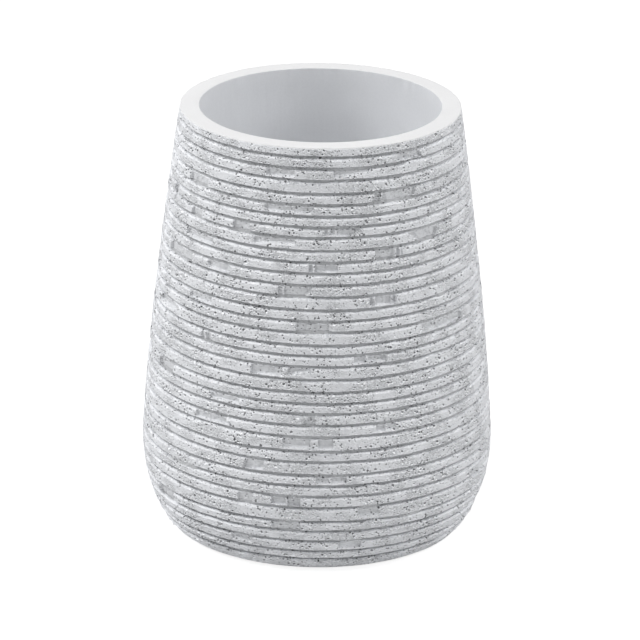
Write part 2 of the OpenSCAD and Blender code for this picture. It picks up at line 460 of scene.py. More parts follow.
def cut_grooves(shape, turns, rng):
    """The grooves, at their heights in the table but wandering, leaning and uneven in depth."""
    centres = groove_heights(shape)[:, None]
    rows = len(centres)
    half = shape.groove_height / 2
    drift = wander(rng, rows, "drift") - CUT_TILT * np.sin(np.radians(turns))
    return Grooves(
        top=centres + half - GROOVE_DROP + drift + wander(rng, rows, "roof"),
        bottom=centres - half - GROOVE_DROP + drift + LEDGE_LIFT + wander(rng, rows, "ledge"),
        depth=shape.groove_depth * (1 + wander(rng, rows, "depth")),
        rise=LEDGE_RISE * (1 + wander(rng, rows, "rise")))


def ragged_edge(rng):
    """An uneven share round the turn, for the width of a worn slope."""
    return RAGGED + RAGGED_MORE * np.abs(wander(rng, 1, "ragged")[0])


def wear_ridges(rows, turns, rng):
    """The unevenness and the wear of the ridges."""
    lean = wander(rng, rows, "lean")
    back = np.abs(wander(rng, rows, "back"))
    wear = LIP_WEAR + LIP_WEAR_MORE * np.clip(wander(rng, rows, "wear"), 0, 2)
    bites = np.clip(wander(rng, rows, "bites") - BITE_FROM, 0, 1)
    bites *= np.clip(0.5 + wander(rng, rows, "bite_patches"), 0, 1)
    wear += BITE_SIZE * bites
    low_wear = LOW_WEAR + LOW_WEAR_MORE * np.clip(wander(rng, rows, "low_wear"), 0, 2)
    hollow = 1 + wander(rng, rows, "hollow")
    slope = TORN_SLOPE + TORN_SLOPE * np.abs(wander(rng, rows, "slope"))
    for ridge, first, last, width in WORN_LEDGES:
        wear[ridge] += width * MM * soft_window(turns, first, last) ** 0.5 * ragged_edge(rng)
    for _ in range(BACK_WORN):
        ridge, first = rng.integers(1, rows - 1), rng.uniform(*BACK_SIDE)
        ragged = ragged_edge(rng)
        last = first + rng.uniform(*BACK_WORN_LENGTH)
        wear[ridge] += BACK_WORN_WIDTH * soft_window(turns, first, last) ** 0.5 * ragged
    return Ridges(lean, back, wear, low_wear, hollow, slope)


def swell_and_bridge(cut, turns, rng):
    """Raises ledges where a ridge swells, and fills grooves that were never cut through."""
    for ridge, first, last, rise in SWELLS:
        cut.bottom[ridge - 1] += rise * MM * soft_window(turns, first, last)
    for _ in range(BACK_SWELLS):
        groove, first = rng.integers(0, len(cut.bottom)), rng.uniform(*BACK_SIDE)
        last = first + rng.uniform(*BACK_SWELL_LENGTH)
        cut.bottom[groove] += BACK_SWELL_RISE * soft_window(turns, first, last)
    for groove, first, last in BRIDGES:
        cut.depth[groove] *= 1 - BRIDGE_SHARE * plain_window(turns, first, last, BRIDGE_RAMP)


def face_shares(bound, slope):
    """Where the rows of a face lie: evenly, or gathered at the lower bound of its breaks."""
    under = np.maximum(bound - slope, TORN_LEAST)
    torn = ((2 + bound) / 3, (1 + 2 * bound) / 3, bound + slope, under, under / 2)
    return [np.where(bound > 0, share, even) for share, even in zip(torn, FACE_SHARES)]


def lip_rings(root, lip, upper, rise, wear, lost, dark):
    """The ledge on top of a ridge, from the groove's root out, and the slope that wear cut in its
    lip, painted paler as highlight, with painted shade at the root.
    """
    gone_in = wear * (1 - TORN_WEAR * lost)
    top = upper + rise * (1 - TORN_RISE * lost)
    worn_lip = lip - gone_in
    below = upper - LIP_DROP * gone_in
    # Painted shade at the root; the ledge and the lip's slope painted paler, with wear and painted
    # highlight; below the lip the rows keep a break's painted shade
    return [
        Ring(root, top + ROOT_UP, out=0.03, deep=0.9, smooth=0.9),
        Ring(root + ROOT_OUT, top, up=0.03, worn=0.3),
        Ring((1 - LEDGE_ROW_OUT) * root + LEDGE_ROW_OUT * worn_lip,
             LEDGE_ROW_UP * top + (1 - LEDGE_ROW_UP) * upper, up=0.07, worn=1.0),
        Ring(worn_lip, upper, out=0.03, up=0.05, worn=1.0),
        Ring(lip, below, out=0.05, up=0.05, pits=0.3, worn=0.3, deep=dark, smooth=lost),
        Ring(lip, below - LIP_CREASE, out=0.05, up=0.05, pits=0.5, deep=dark, smooth=lost),
    ]


def outside_rings(shape, turns, rng):
    """The outside from the rim down to the foot: ridges, grooves, breaks and edges rounded by wear.
    """
    cut = cut_grooves(shape, turns, rng)
    grooves = len(cut.top)
    ridges = wear_ridges(grooves + 1, turns, rng)
    swell_and_bridge(cut, turns, rng)
    breaks = all_breaks(grooves)

    rings = []
    for ridge in range(grooves + 1):
        last = ridge == grooves
        upper = cut.bottom[ridge - 1] if ridge else shape.height - RIM_OUTER_ROUND
        lower = np.full(COLUMNS, body_low.z) if last else cut.top[ridge]
        own = [stretch for stretch in breaks if stretch.ridge == ridge]
        stubs = [stub for stub in STUBS if stub[0] == ridge]
        bound = low_bound(own, turns)

        def face(share):
            """Radius and height of the face at a share of its height, how broken, and its painted
            shade.
            """
            z = lower + (upper - lower) * share
            lost = broken(own, stubs, turns, share)
            corner = lost * (1 - np.minimum(np.roll(lost, 1), np.roll(lost, -1)))
            radius = envelope(shape, z) - ridges.back[ridge] + ridges.lean[ridge] * (share - 0.5)
            radius -= shape.break_depth * ridges.hollow[ridge] * lost
            return radius, z, lost, TORN_PAINTED_SHADE * lost + CORNER_PAINTED_SHADE * corner

        if ridge:
            root = envelope(shape, upper) - cut.depth[ridge - 1]
            lip, _, lost, dark = face(1.0)
            rise, wear = cut.rise[ridge - 1], ridges.wear[ridge]
            rings += lip_rings(root, lip, upper, rise, wear, lost, dark)
        # Rows of the face. Where it is torn, its recess gets painted shade, and the ledge at its
        # lower bound gets painted highlight where it faces up
        for share, torn_highlight in zip(face_shares(bound, ridges.slope[ridge]), TORN_HIGHLIGHT):
            radius, z, lost, dark = face(share)
            torn_highlight = torn_highlight * (bound > 0)
            rings.append(Ring(radius, z, out=FACE_ROUGH + TORN_ROUGH * lost, up=0.04, pits=1.0,
                              worn=torn_highlight, deep=dark * (1 - torn_highlight), smooth=lost))
        # The lower edge of the ridge: its rounding a little paler with wear and painted highlight,
        # and its underside with painted shade
        edge = FOOT_EDGE if last else ridges.low_wear[ridge]
        radius, _, lost, dark = face(0.0)
        if last:
            radius = np.minimum(radius, shape.foot_radius + FOOT_OUT)
        rings.append(Ring(radius, lower + edge, out=0.04, up=0.03, pits=0.5,
                          worn=0.3, deep=dark, smooth=lost))
        rings.append(Ring(radius - edge, lower, out=0.03, up=0.0 if last else 0.03, deep=0.3))
        if not last:
            # The groove under the ridge: painted shade over its roof and its back wall
            roof = lower - GROOVE_SLANT
            root = envelope(shape, lower) - cut.depth[ridge]
            middle = (roof + cut.bottom[ridge] + cut.rise[ridge]) / 2
            rings.append(Ring((root + radius - edge) / 2, lower - GROOVE_SLANT / 2,
                              up=0.04, deep=0.8, smooth=0.8))
            rings.append(Ring(root, roof, out=0.04, deep=1.0, smooth=1.0))
            rings.append(Ring(envelope(shape, middle) - cut.depth[ridge], middle,
                              out=0.06, deep=1.0, smooth=0.9))
    return [ring._replace(chart="outside") for ring in rings]


def underside_rings():
    """The flat foot, the wall of the pad's recess and its ceiling in to the axis."""
    recess = pad_high.x + RECESS_GAP
    low, top = body_low.z, film_high.z
    places = [(recess + (FOOT_FLAT_RADIUS - recess) * share, low) for share in FOOT_SHARES]
    places += [(recess + RECESS_BEVEL, low), (recess, low + RECESS_BEVEL), (recess, top)]
    places += [(recess * share, top) for share in CEILING_SHARES]
    return [Ring(radius, height, chart="under") for radius, height in places]


# Lumps: how many directions they draw on, the numbers that pick one for a cell, the shift from
# one octave to the next, and what brings the values to about -1 to 1
LEANS, LEAN_PICK = 4096, (73856093, 19349663, 83492791)
OCTAVE_SHIFT, LUMP_REACH = 17.3, 1.6


def lumps(points, size, seed, octaves=3):
    """Uneven values of about -1 to 1 at points, with lumps about size across."""
    leans = np.random.default_rng(seed).normal(size=(LEANS, 3))
    leans /= np.linalg.norm(leans, axis=1)[:, None]
    total, weight = np.zeros(points.shape[:-1]), 1.0
    for octave in range(octaves):
        scaled = points / size * 2 ** octave + OCTAVE_SHIFT * octave
        cell = np.floor(scaled).astype(np.int64)
        inside = scaled - cell
        fade = inside ** 3 * (inside * (inside * 6 - 15) + 10)
        for corner in np.ndindex(2, 2, 2):
            x, y, z = np.moveaxis((cell + corner) * LEAN_PICK, -1, 0)
            lean = leans[(x ^ y ^ z) % LEANS]
            share = np.prod(np.where(np.array(corner) == 1, fade, 1 - fade), -1)
            total += weight * share * np.sum(lean * (inside - corner), -1)
        weight *= 0.5
    return total * LUMP_REACH


def ring_points(rings, turns, shape, rng):
    """Points of every ring, roughened, and the masks of pits, wear, depth and smoothness."""
    angle = np.radians(turns)
    radius, height, out, up, pits, worn, deep, smooth = (
        np.array([np.broadcast_to(getattr(ring, name), COLUMNS) for ring in rings], float)
        for name in Ring._fields[:8])

    def placed_at(radius, height):
        return np.stack([radius * np.sin(angle), -radius * np.cos(angle), height], -1)

    at = placed_at(radius, height)
    field = lumps(at, LUMPS_OUT, shape.seed)
    other = lumps(at, LUMPS_UP, shape.seed + 1)
    patch = lumps(at, PIT_PATCHES, shape.seed + 2, octaves=2)

    chance = pits * (PIT_CHANCE + PIT_PATCH_CHANCE * np.clip(patch + PIT_PATCH_EDGE, 0, 1))
    hit = rng.random(chance.shape) < chance
    pit = hit * rng.uniform(*PIT_SIZES, chance.shape)
    pit *= 1 - np.roll(hit, 1, axis=0)
    brink = np.roll(pit, 1, axis=0)
    radius = radius + out * MM * field - PIT_DEPTH * pit + PIT_BRINK * brink
    height = np.clip(height + up * MM * other, body_low.z, body_high.z)
    outside = np.array([ring.chart == "outside" for ring in rings])[:, None]
    radius = np.where(outside, np.minimum(radius, shape.belly_radius), radius)
    # The pits are painted dark as shade in the material, and the brink under each is added to the
    # mask of wear and painted highlight
    masks = {"pit": pit, "worn": np.maximum(worn, brink), "deep": deep, "smooth": smooth}
    return placed_at(radius, height), masks


# Places of the charts on the bake map: two strips, left and right end and foot and top, and
# two discs, middle and radius. A cell is at least a share of its chart's mean height, and the
# faces that close the mesh are small discs in the middle of theirs
STRIPS = {"outside": (0.002, 0.998, 0.002, 0.655), "inside": (0.002, 0.64, 0.662, 0.998)}
DISCS = {"floor": (0.745, 0.76, 0.094), "under": (0.9, 0.9, 0.094)}
LEAST_CELL = 0.45
CAP_REACH = 0.001


def chart_places(points, charts):
    """How far along its chart each row of quads lies, 0 to 1, at its start and its end."""
    step = np.linalg.norm(np.diff(points, axis=0), axis=2).mean(1)
    starts, ends = np.zeros(len(step)), np.zeros(len(step))
    for chart in dict.fromkeys(charts):
        rows = np.array([c == chart for c in charts])
        least = LEAST_CELL * step[rows].mean()
        reach = np.concatenate([[0], np.cumsum(np.maximum(step[rows], least))])
        reach /= reach[-1]
        starts[rows], ends[rows] = reach[:-1], reach[1:]
    return starts, ends


def disc_circle(chart, reach, share):
    """Points of a circle on a disc of the bake map, at shares of the turn."""
    angle = share * TAU
    return np.array(DISCS[chart][:2]) + reach * np.stack([np.cos(angle), np.sin(angle)], -1)


def bake_map(points, charts):
    """Places on the bake map of every corner: each quad is a cell of its strip or disc."""
    across = np.arange(COLUMNS + 1) / COLUMNS
    cells = []
    for chart, *reach in zip(charts, *chart_places(points, charts)):
        if chart in STRIPS:
            left, right, foot, top = STRIPS[chart]
            u = left + (right - left) * across
            low, high = (np.stack([u, np.full(len(u), top - (top - foot) * share)], -1)
                         for share in reach)
        else:
            if chart == "under":
                reach = [1 - share for share in reach]
            low, high = (disc_circle(chart, DISCS[chart][2] * share, across) for share in reach)
        cells.append(np.stack([low[:-1], high[:-1], high[1:], low[1:]], 1).reshape(-1, 2))
    cells.append(disc_circle("floor", CAP_REACH, across[:-1]))
    cells.append(disc_circle("under", CAP_REACH, across[:-1][::-1]))
    return np.concatenate(cells)


def mesh_of_rings(name, points):
    """A closed mesh of rings of points. One face closes the first ring, and one the last."""
    rows = len(points)
    mesh = bpy.data.meshes.new(name)
    index = np.arange(rows * COLUMNS).reshape(rows, COLUMNS)
    after = np.roll(index, -1, axis=1)
    quads = np.stack([index[:-1], index[1:], after[1:], after[:-1]], -1).reshape(-1, 4)
    mesh.vertices.add(rows * COLUMNS)
    mesh.vertices.foreach_set("co", points.astype(np.float32).ravel())
    mesh.loops.add(quads.size + 2 * COLUMNS)
    mesh.polygons.add(len(quads) + 2)
    caps = np.concatenate([index[0], index[-1][::-1]])
    mesh.loops.foreach_set("vertex_index", np.concatenate([quads.ravel(), caps]).astype(np.int32))
    starts = np.concatenate([np.arange(len(quads)) * 4, quads.size + np.array([0, COLUMNS])])
    mesh.polygons.foreach_set("loop_start", starts.astype(np.int32))
    mesh.update(calc_edges=True)
    return mesh


# Edges between faces that meet at more than so many degrees stay sharp
SHARP_FROM = 30


def build_casting_mesh(shape):
    """The whole casting as a mesh with its masks, its material slots and its bake map."""
    rng = np.random.default_rng(shape.seed)
    turns = np.arange(COLUMNS) * 360 / COLUMNS - 180
    rings = well_rings(shape) + rim_rings(shape, rng)
    rings += outside_rings(shape, turns, rng) + underside_rings()
    points, masks = ring_points(rings, turns, shape, rng)
    charts = [ring.chart for ring in rings][1:]
    mesh = mesh_of_rings("casting", points)
    for name, values in masks.items():
        layer = mesh.attributes.new(name, "FLOAT", "POINT")
        layer.data.foreach_set("value", np.ascontiguousarray(values, np.float32).ravel())
    uv = mesh.uv_layers.new(name="OFBake")
    uv.uv.foreach_set("vector", bake_map(points, charts).astype(np.float32).ravel())
    slots = np.repeat([0 if chart == "outside" else 1 for chart in charts], COLUMNS)
    mesh.polygons.foreach_set("material_index", np.concatenate([slots, [1, 1]]).astype(np.int32))
    mesh.shade_smooth()
    mesh.set_sharp_from_angle(angle=math.radians(SHARP_FROM))
    return mesh


def add_piece(name, mesh, node):
    """Puts a mesh in the scene as a piece that rides on the root body and replaces a node."""
    piece = bpy.data.objects.new(name, mesh)
    bpy.context.scene.collection.objects.link(piece)
    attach(piece, "root")
    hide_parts(node)
    return piece


def feed(tree, node, inputs):
    """Gives a node's inputs their values, or links the sockets that feed them."""
    for key, value in inputs.items():
        if isinstance(value, bpy.types.NodeSocket):
            tree.links.new(value, node.inputs[key])
        else:
            node.inputs[key].default_value = value


def add_node(tree, kind, inputs=None, **settings):
    """A shader node with its settings and its inputs."""
    node = tree.nodes.new(kind)
    for key, value in settings.items():
        setattr(node, key, value)
    feed(tree, node, inputs or {})
    return node


def maths(tree, operation, first, second, clamp=False):
    """The output of one Math node."""
    return add_node(tree, "ShaderNodeMath", {0: first, 1: second},
                    operation=operation, use_clamp=clamp).outputs[0]


def vector_maths(tree, operation, inputs):
    """The output of one Vector Math node."""
    return add_node(tree, "ShaderNodeVectorMath", inputs, operation=operation).outputs[0]


def greatest(tree, first, *others):
    """The greatest of some values."""
    for other in others:
        first = maths(tree, "MAXIMUM", first, other)
    return first


def weighed(tree, start, *terms):
    """A start value plus the sum of some values, each times its weight."""
    total = start
    for value, weight in terms:
        total = add_node(tree, "ShaderNodeMath", {0: value, 1: weight, 2: total},
                         operation="MULTIPLY_ADD").outputs[0]
    return total


def blended(tree, factor, first, second, blend="MIX"):
    """The colour output of one Mix node."""
    return add_node(tree, "ShaderNodeMix", {0: factor, 6: first, 7: second},
                    data_type="RGBA", blend_type=blend).outputs[2]


def ranged(tree, value, low, high, to_low=0.0, to_high=1.0):
    """A value brought smoothly from one range to another."""
    inputs = {"Value": value, "From Min": low, "From Max": high}
    inputs.update({"To Min": to_low, "To Max": to_high})
    return add_node(tree, "ShaderNodeMapRange", inputs, interpolation_type="SMOOTHSTEP").outputs[0]


def noise(tree, place, scale, detail):
    """A noise texture."""
    inputs = {"Vector": place, "Scale": scale, "Detail": detail}
    return add_node(tree, "ShaderNodeTexNoise", inputs)


def new_group(name, inputs, outputs):
    """An empty shader node group with float or vector inputs and float outputs."""
    group = bpy.data.node_groups.new(name, "ShaderNodeTree")
    for label, default in inputs:
        kind = "NodeSocketVector" if default is None else "NodeSocketFloat"
        socket = group.interface.new_socket(label, in_out="INPUT", socket_type=kind)
        if default is not None:
            socket.default_value = default
    for label in outputs:
        group.interface.new_socket(label, in_out="OUTPUT", socket_type="NodeSocketFloat")
    return group, group.nodes.new("NodeGroupInput"), group.nodes.new("NodeGroupOutput")


# Noise that counts as the least and the most: of the grain, and of the patches of pores
NOISE_RANGE = (0.25, 0.75)
PATCH_RANGE = (0.36, 0.64)
# Pores: fineness and reach of the bends in their outline, and least share of the full radius
PORE_BEND_FINENESS, PORE_BEND = 0.6, 1.8
PORE_LEAST = 0.5
# Radii out from a pore's middle at which its painted shade, its painted highlight and its dip begin
# and are full. The painted shade sits high, and the painted highlight lies on the lower side
PORE_DARK_RANGE, PORE_HIGH = (1.05, 0.8), 0.4
PORE_EDGE_RANGE, PORE_UNDER_RANGE = (2.2, 1.5), (0.1, 0.8)
PORE_DIP_RANGE = (1.7, 0.2)


def pores_group():
    """Uneven pores in patches. Place is in mm, and so are Spacing and Radius. Mask is the painted
    shade of a pore, set high in it, Rim a painted highlight on its lower edge, and Hollow its wider
    dip."""
    group, given, made = new_group(
        "Stone Pores",
        [("Place", None), ("Spacing", 0.9), ("Radius", 0.16), ("Amount", 0.5), ("Patch Size", 6.0)],
        ["Mask", "Rim", "Hollow"])
    at, spacing, radius, amount, patch_size = list(given.outputs)[:5]
    warp = noise(group, at, maths(group, "DIVIDE", PORE_BEND_FINENESS, radius), 1.0)
    bend = maths(group, "MULTIPLY", radius, PORE_BEND)
    bent = vector_maths(group, "SCALE", {0: warp.outputs["Color"], 3: bend})
    place = vector_maths(group, "ADD", {0: at, 1: bent})
    scale = maths(group, "DIVIDE", 1.0, spacing)
    cells = add_node(group, "ShaderNodeTexVoronoi",
                     {"Vector": place, "Scale": scale, "Randomness": 1.0})
    parts = add_node(group, "ShaderNodeSeparateColor", {"Color": cells.outputs["Color"]})
    near = maths(group, "MULTIPLY", cells.outputs["Distance"], spacing)
    size = ranged(group, parts.outputs[1], 0.0, 1.0, PORE_LEAST, 1.0)
    reach = maths(group, "MULTIPLY", radius, size)
    share = maths(group, "DIVIDE", near, reach)
    away = vector_maths(group, "SUBTRACT", {0: cells.outputs["Position"], 1: place})
    rise = add_node(group, "ShaderNodeSeparateXYZ", {0: away}).outputs[2]
    under = maths(group, "DIVIDE", rise, reach)
    patch = noise(group, at, maths(group, "DIVIDE", 1.0, patch_size), 2.0)
    dense = ranged(group, patch.outputs["Fac"], *PATCH_RANGE)
    keep = maths(group, "MULTIPLY", dense, amount)
    kept = maths(group, "LESS_THAN", parts.outputs[0], keep)
    dark = ranged(group, weighed(group, share, (under, PORE_HIGH)), *PORE_DARK_RANGE)
    dark = maths(group, "MULTIPLY", dark, kept)
    halo = maths(group, "MULTIPLY", ranged(group, share, *PORE_EDGE_RANGE), kept)
    crescent = maths(group, "MULTIPLY", halo, ranged(group, under, *PORE_UNDER_RANGE))
    rim = maths(group, "SUBTRACT", crescent, dark, clamp=True)
    dip = maths(group, "MULTIPLY", ranged(group, share, *PORE_DIP_RANGE), kept)
    feed(group, made, {"Mask": dark, "Rim": rim, "Hollow": dip})
    return group


def grain_group():
    """Uneven values of about -1 to 1 in lumps of one size, and of a finer size. Place is in mm."""
    group, given, made = new_group(
        "Stone Grain", [("Place", None), ("Lump Size", 3.0), ("Grain Size", 0.4)],
        ["Lumps", "Grain"])
    for label, size, detail in (("Lumps", "Lump Size", 1.0), ("Grain", "Grain Size", 0.0)):
        scale = maths(group, "DIVIDE", 1.0, given.outputs[size])
        texture = noise(group, given.outputs["Place"], scale, detail)
        feed(group, made, {label: ranged(group, texture.outputs["Fac"], *NOISE_RANGE, -1.0, 1.0)})
    return group


def shared_groups():
    """The grain and pore groups, built once."""
    grain = bpy.data.node_groups.get("Stone Grain") or grain_group()
    pores = bpy.data.node_groups.get("Stone Pores") or pores_group()
    return grain, pores


# Sizes that a surface gives the groups, in mm. Amount is the share of the pores that is kept
Grain = namedtuple("Grain", "lump_size grain_size")
Pores = namedtuple("Pores", "spacing radius amount patch_size")


def placed(tree, group, place, sizes):
    """A group placed in a material with the place that it reads and its own sizes."""
    return add_node(tree, "ShaderNodeGroup", dict(enumerate((place, *sizes))), node_tree=group)


def place_in_mm(tree):
    """Place on the piece in millimetres."""
    place = add_node(tree, "ShaderNodeTexCoord").outputs["Object"]
    return vector_maths(tree, "SCALE", {0: place, 3: 1 / MM})


def new_material(name):
    """A material with a Principled shader, and its node tree."""
    material = bpy.data.materials.new(name)
    material.use_nodes = True
    tree = material.node_tree
    return material, tree, tree.nodes["Principled BSDF"]


def finish_shader(tree, shader, colour, roughness, specular=None, height=None):
    """Feeds a Principled shader. The height is of a bump, in mm."""
    feed(tree, shader, {"Base Color": colour, "Roughness": roughness})
    if specular is not None:
        feed(tree, shader, {"Specular IOR Level": specular})
    if height is not None:
        bump = add_node(tree, "ShaderNodeBump", {"Height": height, "Strength": 1.0, "Distance": MM})
        feed(tree, shader, {"Normal": bump.outputs["Normal"]})


# Cut stone: its grain, how much flatter than long the marks of the cutting are, and its pores
BROAD_GRAIN, CLOSE_GRAIN, ZONE_GRAIN = Grain(2.6, 1.1), Grain(0.8, 0.44), Grain(14.0, 6.0)
CUT_STREAK = 1.7
FINE_PORES = Pores(0.75, 0.24, 0.9, 3.0)
COARSE_PORES = Pores(1.3, 0.28, 0.55, 6.0)
SPECKS, SPECK_SHARE = Pores(0.5, 0.17, 0.8, 5.0), 0.6
PORE_PAINTED_SHADE = 0.85
# Pits of the mesh, painted with shade: mask at which the painted shade of one begins and is in full
PIT_RANGE = (0.3, 0.8)
# Zones of finer and rougher stone, how much of the roughness a torn face loses, and the
# roughness from which pores show in full
ZONE_RANGE, ZONE_ROUGHNESS = (-0.45, 0.4), (0.45, 1.3)
TORN_SMOOTH = 0.75
PORES_SHOW_FROM = 0.5
# Tone of the stone, and what is added by its grain, by the painted shade in its grooves, breaks and
# under edges, by the wear and painted highlight of its edges and ledges, and by the painted
# highlight on its pores' lower edges
STONE_TONE, LUMP_TONE, GRAIN_TONE = 0.95, 0.02, 0.07
PAINTED_SHADE_TONE, WEAR_AND_HIGHLIGHT_TONE, PORE_HIGHLIGHT_TONE = -0.30, 0.27, 0.60
# Heights in mm of the broad and close grain, the pores' dips and the torn faces
BROAD_HEIGHT, LUMP_HEIGHT, GRAIN_HEIGHT, DIP_HEIGHT, TORN_HEIGHT = 0.03, 0.05, 0.10, -0.32, 0.12
CUT_ROUGHNESS, CUT_ROUGHNESS_SPREAD, CUT_SPECULAR = 0.78, 0.06, 0.3


def cut_stone_material(finish, grain, pores):
    """The ridged outside: mottled, grainy and pitted, with painted shade in its grooves, breaks and
    pores, and paler with wear and painted highlight on its edges and ledges.
    """
    material, tree, shader = new_material("cut_stone")
    place = place_in_mm(tree)
    flat = vector_maths(tree, "MULTIPLY", {0: place, 1: (1.0, 1.0, CUT_STREAK)})
    broad = placed(tree, grain, place, BROAD_GRAIN).outputs
    close = placed(tree, grain, flat, CLOSE_GRAIN).outputs
    zones = placed(tree, grain, flat, ZONE_GRAIN).outputs
    fine = placed(tree, pores, place, FINE_PORES).outputs
    specks = placed(tree, pores, place, SPECKS).outputs
    coarse = placed(tree, pores, place, COARSE_PORES).outputs
    # Masks of the mesh: pits; wear with painted highlight; painted shade in grooves, breaks and
    # under edges; smoothness
    pit, worn, deep, smooth = (
        add_node(tree, "ShaderNodeAttribute", attribute_name=name).outputs["Fac"]
        for name in ("pit", "worn", "deep", "smooth"))

    def strongest(output):
        """The strongest of the three sizes of pores, where specks are fainter."""
        faint = maths(tree, "MULTIPLY", specks[output], SPECK_SHARE)
        return greatest(tree, fine[output], coarse[output], faint)

    zone = ranged(tree, zones["Grain"], *ZONE_RANGE, *ZONE_ROUGHNESS)
    rough = maths(tree, "SUBTRACT", 1.0, maths(tree, "MULTIPLY", smooth, TORN_SMOOTH))
    rough = maths(tree, "MULTIPLY", rough, zone)
    # Pores and pits are painted dark as shade, and the lower edges of pores paler as painted
    # highlight
    holes = maths(tree, "MULTIPLY", strongest("Mask"), PORE_PAINTED_SHADE)
    holes = maths(tree, "MULTIPLY", holes, ranged(tree, rough, 0.0, PORES_SHOW_FROM), clamp=True)
    holes = greatest(tree, holes, ranged(tree, pit, *PIT_RANGE, 0.0, PORE_PAINTED_SHADE))
    uneven = weighed(tree, 0.0, (close["Lumps"], LUMP_TONE), (close["Grain"], GRAIN_TONE),
                     (strongest("Rim"), PORE_HIGHLIGHT_TONE))
    tone = weighed(tree, STONE_TONE, (uneven, rough), (broad["Lumps"], LUMP_TONE),
                   (deep, PAINTED_SHADE_TONE), (worn, WEAR_AND_HIGHLIGHT_TONE))
    toned = blended(tree, 1.0, (*finish.stone_colour, 1), tone, "MULTIPLY")
    colour = blended(tree, holes, toned, (*finish.pore_shade_colour, 1))
    dips = greatest(tree, fine["Hollow"], coarse["Hollow"])
    bumps = weighed(tree, 0.0, (broad["Grain"], BROAD_HEIGHT), (close["Lumps"], LUMP_HEIGHT),
                    (close["Grain"], GRAIN_HEIGHT), (dips, DIP_HEIGHT))
    torn = maths(tree, "MULTIPLY", smooth, broad["Grain"])
    finish_shader(tree, shader, colour,
                  weighed(tree, CUT_ROUGHNESS, (close["Grain"], CUT_ROUGHNESS_SPREAD)),
                  specular=CUT_SPECULAR,
                  height=weighed(tree, 0.0, (bumps, rough), (torn, TORN_HEIGHT)))
    return material


# Smooth cast resin, with a few faint specks
CAST_GRAIN, CAST_SPECKS, CAST_SPECK_DARK = Grain(9.0, 0.5), Pores(2.6, 0.12, 0.25, 14.0), 0.35
CAST_LUMP_TONE, CAST_GRAIN_TONE, CAST_GRAIN_HEIGHT = 0.012, 0.008, 0.003
CAST_ROUGHNESS, CAST_ROUGHNESS_SPREAD, CAST_SPECULAR = 0.8, 0.05, 0.2


def smooth_cast_material(finish, grain, pores):
    """Rim, inside and foot: the smooth mould side of the same resin, dull and even, the rim painted
    paler as highlight.
    """
    material, tree, shader = new_material("smooth_cast")
    place = place_in_mm(tree)
    grains = placed(tree, grain, place, CAST_GRAIN).outputs
    specks = placed(tree, pores, place, CAST_SPECKS).outputs
    # The rim's mask brings in its paler colour, a painted highlight
    rim = add_node(tree, "ShaderNodeAttribute", attribute_name="worn").outputs["Fac"]
    base = blended(tree, rim, (*finish.stone_colour, 1), (*finish.rim_highlight_colour, 1))
    tone = weighed(tree, 1.0, (grains["Lumps"], CAST_LUMP_TONE), (grains["Grain"], CAST_GRAIN_TONE))
    toned = blended(tree, 1.0, base, tone, "MULTIPLY")
    faint = maths(tree, "MULTIPLY", specks["Mask"], CAST_SPECK_DARK)
    colour = blended(tree, faint, toned, (*finish.pore_shade_colour, 1))
    height = maths(tree, "MULTIPLY", grains["Grain"], CAST_GRAIN_HEIGHT)
    finish_shader(tree, shader, colour,
                  weighed(tree, CAST_ROUGHNESS, (grains["Lumps"], CAST_ROUGHNESS_SPREAD)),
                  specular=CAST_SPECULAR, height=height)
    return material


# Foam: its mottling and its cells, and how dark and how deep a cell is
FOAM_GRAIN, FOAM_CELLS = Grain(7.0, 0.3), Pores(0.55, 0.2, 1.0, 3.0)
FOAM_LUMP_TONE, FOAM_CELL_TONE = 0.12, 0.45
FOAM_GRAIN_HEIGHT, FOAM_CELL_HEIGHT = 0.02, -0.08
FOAM_ROUGHNESS, FOAM_SPECULAR = 0.9, 0.2


def foam_material(finish, grain, pores):
    """Closed-cell foam: dark, dull, with a skin of fine cells."""
    material, tree, shader = new_material("pad_foam")
    place = place_in_mm(tree)
    grains = placed(tree, grain, place, FOAM_GRAIN).outputs
    cell = placed(tree, pores, place, FOAM_CELLS).outputs["Mask"]
    tone = weighed(tree, 1.0, (grains["Lumps"], FOAM_LUMP_TONE))
    toned = blended(tree, 1.0, (*finish.foam_colour, 1), tone, "MULTIPLY")
    darker = (*[part * FOAM_CELL_TONE for part in finish.foam_colour], 1)
    height = weighed(tree, 0.0, (grains["Grain"], FOAM_GRAIN_HEIGHT), (cell, FOAM_CELL_HEIGHT))
    colour = blended(tree, cell, toned, darker)
    finish_shader(tree, shader, colour, FOAM_ROUGHNESS, specular=FOAM_SPECULAR, height=height)
    return material


# Tape: its streaks, their width as a share of their length, and what they do to its tone
FILM_GRAIN, FILM_STREAK, FILM_TONE = Grain(4.0, 0.6), 0.15, 0.06
FILM_ROUGHNESS = 0.4


def film_material(finish, grain):
    """Double-sided tape: yellowish white, with a satin face and faint streaks."""
    material, tree, shader = new_material("adhesive_film")
    stretched = vector_maths(tree, "MULTIPLY", {0: place_in_mm(tree), 1: (FILM_STREAK, 1.0, 1.0)})
    streaks = placed(tree, grain, stretched, FILM_GRAIN).outputs["Lumps"]
    tone = weighed(tree, 1.0, (streaks, FILM_TONE))
    colour = blended(tree, 1.0, (*finish.film_colour, 1), tone, "MULTIPLY")
    finish_shader(tree, shader, colour, FILM_ROUGHNESS)
    return material


class TUMBLER_OT_casting(bpy.types.Operator):
    """Build the ridged casting with its rim, its well and its broken ridges"""

    bl_idname = "tumbler.casting"
    bl_label = "Casting"

    def execute(self, context):
        scene = context.scene
        mesh = build_casting_mesh(scene.tumbler_shape)
        for material in (cut_stone_material, smooth_cast_material):
            mesh.materials.append(material(scene.tumbler_finish, *shared_groups()))
        add_piece("casting", mesh, "body")
        return {"FINISHED"}


